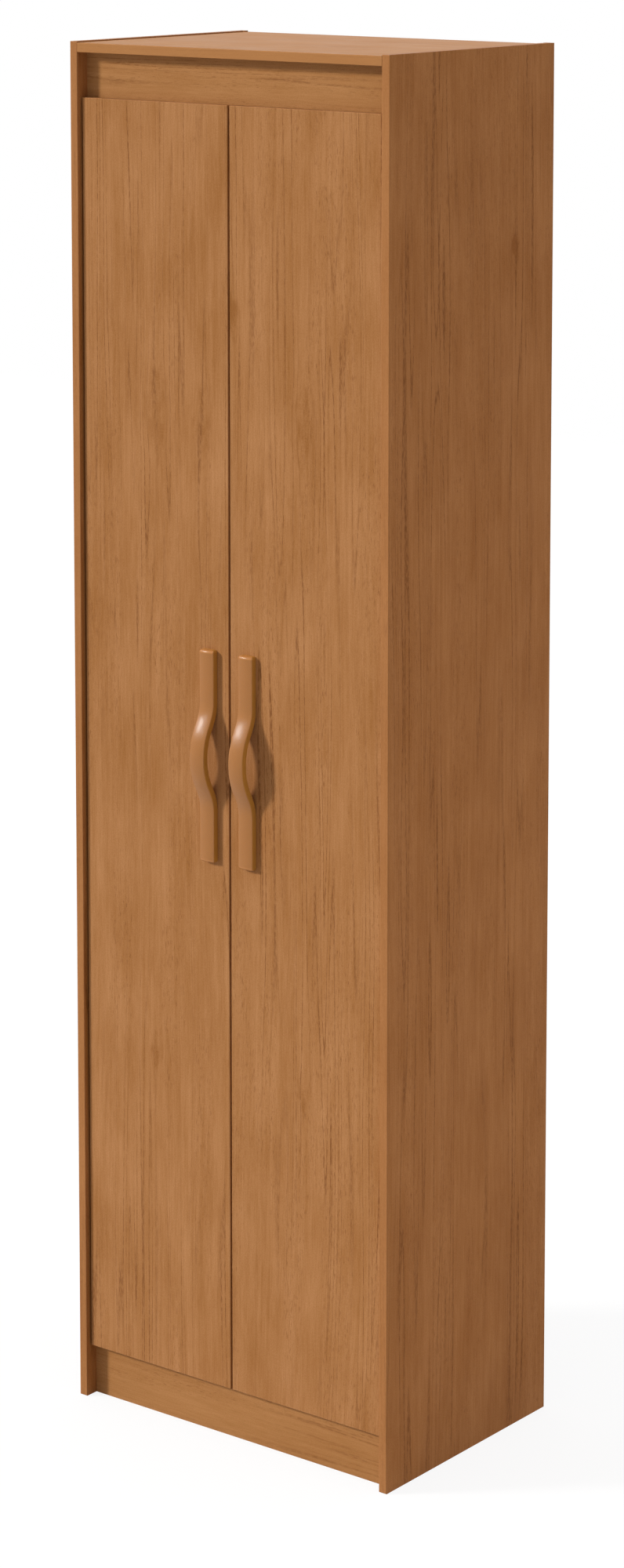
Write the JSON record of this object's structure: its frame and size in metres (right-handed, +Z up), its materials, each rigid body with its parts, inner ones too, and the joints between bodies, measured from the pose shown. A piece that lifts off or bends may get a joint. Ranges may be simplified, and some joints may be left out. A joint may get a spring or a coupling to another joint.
{
  "type": "broom cupboard",
  "caption": "Tall narrow broom cupboard with inset doors on concealed cup hinges, long bow handles, a broom space beside small shelves and a wide shelf above.",
  "frame": {"origin": "on the floor at the middle of the outline, handles included", "axes": "+Z up, +X to the right seen from the front, +Y to the back; the doors face -Y"},
  "size_m": [0.51, 0.3692, 1.8],
  "materials": {
    "wood_board": "wood-grain foil on board, satin",
    "back_board": "thin hardboard, plain",
    "dowel_wood": "fluted beech, bare",
    "handle_plastic": "moulded plastic with a fine knurl, satin",
    "strip_plastic": "extruded plastic, satin",
    "cast_zinc": "die-cast zinc, dull",
    "bright_steel": "zinc-plated steel",
    "hinge_steel": "nickel-plated pressed steel"
  },
  "bodies": {
    "carcass": {"back_joint_strip": "strip_plastic", "back_panel_lower": "back_board", "back_panel_upper": "back_board", "bottom_panel": "wood_board", "cam_bolts": "bright_steel", "cam_locks": "cast_zinc", "divider": "wood_board", "dowels": "dowel_wood", "fixed_shelf": "wood_board", "left_arm_pins": "bright_steel", "left_arm_screws": "bright_steel", "left_hinge_arms": "hinge_steel", "left_hinge_plates": "hinge_steel", "left_plate_screws": "bright_steel", "plinth": "wood_board", "right_arm_pins": "bright_steel", "right_arm_screws": "bright_steel", "right_hinge_arms": "hinge_steel", "right_hinge_plates": "hinge_steel", "right_plate_screws": "bright_steel", "shelf_pins": "bright_steel", "side_panel_left": "wood_board", "side_panel_right": "wood_board", "side_shelf_lower": "wood_board", "side_shelf_middle": "wood_board", "side_shelf_upper": "wood_board", "top_panel": "wood_board", "top_rail": "wood_board"},
    "left_door_set": {"left_door": "wood_board", "left_handle": "handle_plastic", "left_handle_screws": "bright_steel", "left_hinge_cups": "hinge_steel", "left_cup_screws": "bright_steel", "left_cup_pins": "bright_steel"},
    "left_inner_link_set": {"left_inner_links": "hinge_steel"},
    "left_outer_link_set": {"left_outer_links": "hinge_steel"},
    "right_door_set": {"right_door": "wood_board", "right_handle": "handle_plastic", "right_handle_screws": "bright_steel", "right_hinge_cups": "hinge_steel", "right_cup_screws": "bright_steel", "right_cup_pins": "bright_steel"},
    "right_inner_link_set": {"right_inner_links": "hinge_steel"},
    "right_outer_link_set": {"right_outer_links": "hinge_steel"}
  },
  "joints": [
    {"name": "left_inner_link_turn", "type": "hinge", "parent": "carcass", "child": "left_inner_link_set", "pos_m": [-0.2117, -0.12545, 0.899], "axis": [0, 0, 1], "range_deg": [0, 26.6]},
    {"name": "left_door_swing", "type": "hinge", "parent": "left_inner_link_set", "child": "left_door_set", "pos_m": [-0.2326, -0.14525, 0.899], "axis": [0, 0, -1], "range_deg": [0, 118]},
    {"name": "left_outer_link_turn", "type": "hinge", "parent": "left_door_set", "child": "left_outer_link_set", "pos_m": [-0.2297, -0.14815, 0.899], "axis": [0, 0, 1], "range_deg": [0, 117.2]},
    {"name": "right_inner_link_turn", "type": "hinge", "parent": "carcass", "child": "right_inner_link_set", "pos_m": [0.2117, -0.12545, 0.899], "axis": [0, 0, -1], "range_deg": [0, 26.6]},
    {"name": "right_door_swing", "type": "hinge", "parent": "right_inner_link_set", "child": "right_door_set", "pos_m": [0.2326, -0.14525, 0.899], "axis": [0, 0, 1], "range_deg": [0, 118]},
    {"name": "right_outer_link_turn", "type": "hinge", "parent": "right_door_set", "child": "right_outer_link_set", "pos_m": [0.2297, -0.14815, 0.899], "axis": [0, 0, -1], "range_deg": [0, 117.2]}
  ],
  "couplings": [
    {"joint": "left_inner_link_turn", "follows": "left_door_swing", "ratio": 0.22481},
    {"joint": "left_outer_link_turn", "follows": "left_door_swing", "ratio": 0.99225},
    {"joint": "right_inner_link_turn", "follows": "right_door_swing", "ratio": 0.22481},
    {"joint": "right_outer_link_turn", "follows": "right_door_swing", "ratio": 0.99225}
  ]
}
